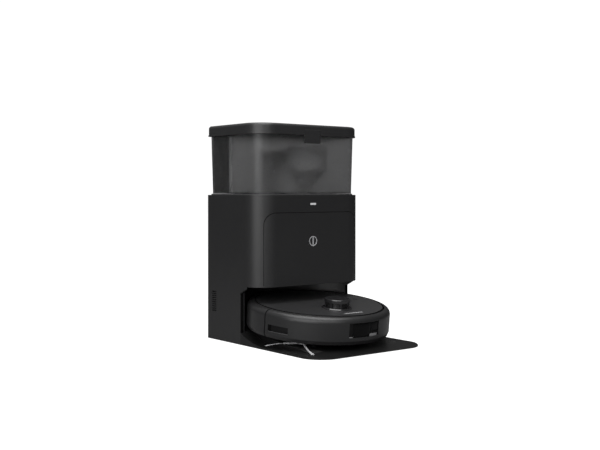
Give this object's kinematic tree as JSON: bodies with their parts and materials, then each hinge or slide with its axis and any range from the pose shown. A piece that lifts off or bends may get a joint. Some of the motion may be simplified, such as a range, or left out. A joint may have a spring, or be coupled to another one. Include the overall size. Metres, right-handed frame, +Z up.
{
  "type": "robot vacuum",
  "caption": "Round robot vacuum with a laser turret, docked on the ramp of its upright self-emptying station with a smoked bagless dust bin and hinged lid.",
  "frame": {"origin": "on the floor, at the middle of the whole object's footprint", "axes": "+X to the right seen from the front, +Y to the back of the station, +Z up; the station and the docked robot face -Y"},
  "size_m": [0.34, 0.432, 0.5212],
  "materials": {
    "tower_black": "fine satin texture",
    "ramp_black": "satin",
    "screw_steel": "blackened",
    "soft_rubber": "matt",
    "pale_gasket": "matt",
    "smoked_bin": "smoked clear",
    "light_white": "lit",
    "badge_grey": "printed",
    "circuit_green": "board",
    "duct_grey": "moulded",
    "filter_white": "pleated",
    "mesh_steel": "perforated",
    "robot_black": "satin",
    "dark_window": "polished",
    "contact_metal": "polished",
    "inlet_black": "moulded",
    "battery_blue": "wrapped",
    "box_clear": "smoked",
    "bristle_grey": "bristle"
  },
  "bodies": {
    "station": {"station_housing": "tower_black", "rear_cover": "tower_black", "housing_screws": "screw_steel", "base_ramp": "ramp_black", "ramp_treads": "soft_rubber", "underside_plates": "ramp_black", "rubber_feet": "soft_rubber", "status_light": "light_white", "control_board": "circuit_green", "dust_inlet_seal": "soft_rubber", "dust_duct": "duct_grey", "dock_signal_window": "dark_window", "bin_seat_gasket": "pale_gasket", "motor_housing": "duct_grey", "motor_mounts": "soft_rubber", "exhaust_filter": "filter_white", "power_supply": "duct_grey", "power_inlet": "inlet_black"},
    "service_cover": {"front_cover": "tower_black", "cover_badge": "badge_grey"},
    "suction_fan": {"suction_impeller": "duct_grey"},
    "bin": {"dust_bin": "smoked_bin", "cyclone_body": "duct_grey", "cyclone_screen": "mesh_steel", "bin_filter": "filter_white", "bin_duct": "duct_grey"},
    "lid": {"bin_lid": "tower_black", "lid_seal": "soft_rubber", "hinge_pin": "screw_steel"},
    "latch": {"lid_latch": "tower_black"},
    "left_contact": {"charge_contact_left": "contact_metal"},
    "right_contact": {"charge_contact_right": "contact_metal"},
    "robot": {"robot_chassis": "robot_black", "body_ring": "robot_black", "charge_plates": "contact_metal", "top_plate": "robot_black", "top_inlay": "light_white", "robot_board": "circuit_green", "turret_base": "robot_black", "turret_cap": "robot_black", "battery_pack": "battery_blue", "robot_dust_box": "box_clear", "robot_filter": "filter_white", "fan_housing": "duct_grey", "cliff_sensors": "dark_window", "brush_frame": "robot_black"},
    "bumper": {"front_bumper": "robot_black", "sensor_window": "dark_window", "side_windows": "dark_window"},
    "lidar": {"lidar_head": "robot_black"},
    "button": {"power_button": "robot_black"},
    "left_arm": {"left_wheel_arm": "robot_black"},
    "right_arm": {"right_wheel_arm": "robot_black"},
    "left_drive_wheel": {"left_wheel": "soft_rubber"},
    "right_drive_wheel": {"right_wheel": "soft_rubber"},
    "castor_swivel": {"castor_fork": "robot_black"},
    "castor_roller": {"castor_wheel": "robot_black"},
    "floor_roller": {"main_brush": "soft_rubber"},
    "sweeper": {"side_brush": "bristle_grey"},
    "robot_blower": {"robot_fan": "duct_grey"}
  },
  "joints": [
    {"name": "robot_undock", "type": "hinge", "parent": "station", "child": "robot", "pos_m": [0, -0.37369, 3.02055], "axis": [-1, 0, 0], "range_deg": [0, 5.7]},
    {"name": "service_cover_pull", "type": "slide", "parent": "station", "child": "service_cover", "axis": [0, -1, 0], "range_m": [0, 0.06]},
    {"name": "suction_fan_spin", "type": "hinge", "parent": "station", "child": "suction_fan", "pos_m": [0.06, 0.105, 0.2], "axis": [0, 0, 1], "continuous": true},
    {"name": "left_contact_press", "type": "slide", "parent": "station", "child": "left_contact", "axis": [0, 0.9951, 0.0993], "range_m": [0, 0.003], "stiffness_N_per_m": 300, "springref_m": -0.001},
    {"name": "right_contact_press", "type": "slide", "parent": "station", "child": "right_contact", "axis": [0, 0.9951, 0.0993], "range_m": [0, 0.003], "stiffness_N_per_m": 300, "springref_m": -0.001},
    {"name": "bin_lift_off", "type": "slide", "parent": "station", "child": "bin", "axis": [0, 0, 1], "range_m": [0, 0.18]},
    {"name": "lid_open", "type": "hinge", "parent": "bin", "child": "lid", "pos_m": [0, 0.211, 0.4975], "axis": [-1, 0, 0], "range_deg": [0, 95]},
    {"name": "latch_flip", "type": "hinge", "parent": "lid", "child": "latch", "pos_m": [0, 0.0062, 0.507], "axis": [-1, 0, 0], "range_deg": [0, 12], "stiffness_Nm_per_rad": 0.25, "springref_deg": -4.58},
    {"name": "bumper_press", "type": "slide", "parent": "robot", "child": "bumper", "axis": [0, 0.9951, 0.0993], "range_m": [0, 0.003], "stiffness_N_per_m": 500, "springref_m": -0.002},
    {"name": "lidar_spin", "type": "hinge", "parent": "robot", "child": "lidar", "pos_m": [0, -0.08512, 0.09419], "axis": [0, -0.0993, 0.9951], "continuous": true},
    {"name": "power_button_press", "type": "slide", "parent": "robot", "child": "button", "axis": [0, 0.0993, -0.9951], "range_m": [0, 0.001], "stiffness_N_per_m": 600, "springref_m": -0.0008},
    {"name": "left_suspension", "type": "hinge", "parent": "robot", "child": "left_arm", "pos_m": [-0.097, 0.04124, 0.05656], "axis": [-1, 0, 0], "range_deg": [0, 4], "stiffness_Nm_per_rad": 6, "springref_deg": -5.73},
    {"name": "right_suspension", "type": "hinge", "parent": "robot", "child": "right_arm", "pos_m": [0.097, 0.04124, 0.05656], "axis": [-1, 0, 0], "range_deg": [0, 4], "stiffness_Nm_per_rad": 6, "springref_deg": -5.73},
    {"name": "left_wheel_roll", "type": "hinge", "parent": "left_arm", "child": "left_drive_wheel", "pos_m": [-0.112, -0.01448, 0.05099], "axis": [1, 0, 0], "continuous": true},
    {"name": "right_wheel_roll", "type": "hinge", "parent": "right_arm", "child": "right_drive_wheel", "pos_m": [0.112, -0.01448, 0.05099], "axis": [1, 0, 0], "continuous": true},
    {"name": "castor_turn", "type": "hinge", "parent": "robot", "child": "castor_swivel", "pos_m": [0, -0.1319, 0.02922], "axis": [0, -0.0993, 0.9951], "continuous": true},
    {"name": "castor_roll", "type": "hinge", "parent": "castor_swivel", "child": "castor_roller", "pos_m": [0, -0.13697, 0.01967], "axis": [1, 0, 0], "continuous": true},
    {"name": "floor_roller_spin", "type": "hinge", "parent": "robot", "child": "floor_roller", "pos_m": [0, -0.06324, 0.03608], "axis": [1, 0, 0], "continuous": true},
    {"name": "sweeper_spin", "type": "hinge", "parent": "robot", "child": "sweeper", "pos_m": [-0.107, -0.0918, 0.02016], "axis": [0, -0.0993, 0.9951], "continuous": true},
    {"name": "robot_fan_spin", "type": "hinge", "parent": "robot", "child": "robot_blower", "pos_m": [0, 0.01736, 0.05417], "axis": [0, -0.0993, 0.9951], "continuous": true}
  ]
}
